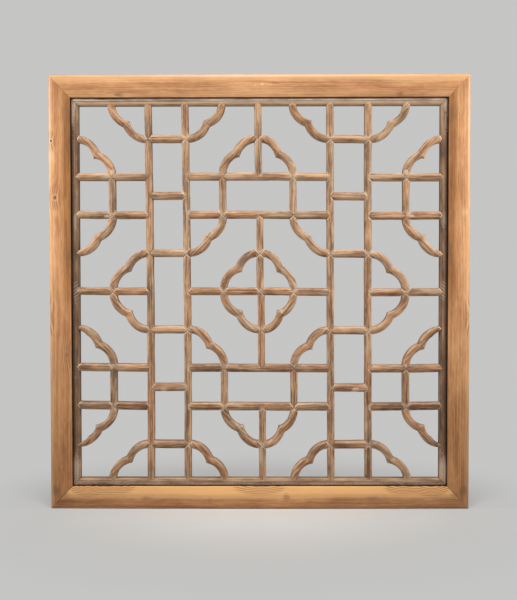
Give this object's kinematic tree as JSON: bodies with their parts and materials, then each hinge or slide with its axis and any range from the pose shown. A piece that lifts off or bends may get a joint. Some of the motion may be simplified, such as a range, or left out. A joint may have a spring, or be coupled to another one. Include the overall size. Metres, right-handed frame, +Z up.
{
  "type": "wooden lattice wall screen",
  "caption": "Old lattice panel of straight and cusped curved sticks in a broad mitred frame, to hang on a wall or build into an opening.",
  "frame": {"origin": "on the back of the frame, at the middle of the top rail, where the screen is fixed to a wall", "axes": "+Z up, +X to the right seen from the front, the face looks along -Y and the back lies in the plane y = 0"},
  "size_m": [0.9, 0.034, 0.9311],
  "materials": {
    "frame_wood": "golden softwood, oiled and lightly worn, satin",
    "stick_wood": "old tan-brown wood, dry, with light chips and worn edges, matt",
    "border_wood": "old grey-brown weathered wood, matt"
  },
  "bodies": {
    "root": {"border_bottom": "border_wood", "border_left": "border_wood", "border_right": "border_wood", "border_top": "border_wood", "centre_cross": "stick_wood", "centre_medallion_lower_left": "stick_wood", "centre_medallion_lower_right": "stick_wood", "centre_medallion_upper_left": "stick_wood", "centre_medallion_upper_right": "stick_wood", "centre_upright_bottom": "stick_wood", "centre_upright_top": "stick_wood", "crossbar_bottom": "stick_wood", "crossbar_lower": "stick_wood", "crossbar_top": "stick_wood", "crossbar_upper": "stick_wood", "frame_rail_bottom": "frame_wood", "frame_rail_top": "frame_wood", "frame_stile_left": "frame_wood", "frame_stile_right": "frame_wood", "head_curve_inner_lower_left": "stick_wood", "head_curve_inner_lower_right": "stick_wood", "head_curve_inner_upper_left": "stick_wood", "head_curve_inner_upper_right": "stick_wood", "head_curve_outer_lower_left": "stick_wood", "head_curve_outer_lower_right": "stick_wood", "head_curve_outer_upper_left": "stick_wood", "head_curve_outer_upper_right": "stick_wood", "ladder_left": "stick_wood", "ladder_right": "stick_wood", "panel_curve_inner_lower_left": "stick_wood", "panel_curve_inner_lower_right": "stick_wood", "panel_curve_inner_upper_left": "stick_wood", "panel_curve_inner_upper_right": "stick_wood", "panel_curve_outer_lower_left": "stick_wood", "panel_curve_outer_lower_right": "stick_wood", "panel_curve_outer_upper_left": "stick_wood", "panel_curve_outer_upper_right": "stick_wood", "short_upright_lower_left": "stick_wood", "short_upright_lower_right": "stick_wood", "short_upright_upper_left": "stick_wood", "short_upright_upper_right": "stick_wood", "side_bar_middle_left": "stick_wood", "side_bar_middle_right": "stick_wood", "side_curve_inner_lower_left": "stick_wood", "side_curve_inner_lower_right": "stick_wood", "side_curve_inner_upper_left": "stick_wood", "side_curve_inner_upper_right": "stick_wood", "side_curve_outer_lower_left": "stick_wood", "side_curve_outer_lower_right": "stick_wood", "side_curve_outer_upper_left": "stick_wood", "side_curve_outer_upper_right": "stick_wood", "side_group_lower_left": "stick_wood", "side_group_lower_right": "stick_wood", "side_group_upper_left": "stick_wood", "side_group_upper_right": "stick_wood", "side_medallion_lower_left": "stick_wood", "side_medallion_lower_right": "stick_wood", "side_medallion_upper_left": "stick_wood", "side_medallion_upper_right": "stick_wood"}
  },
  "joints": []
}
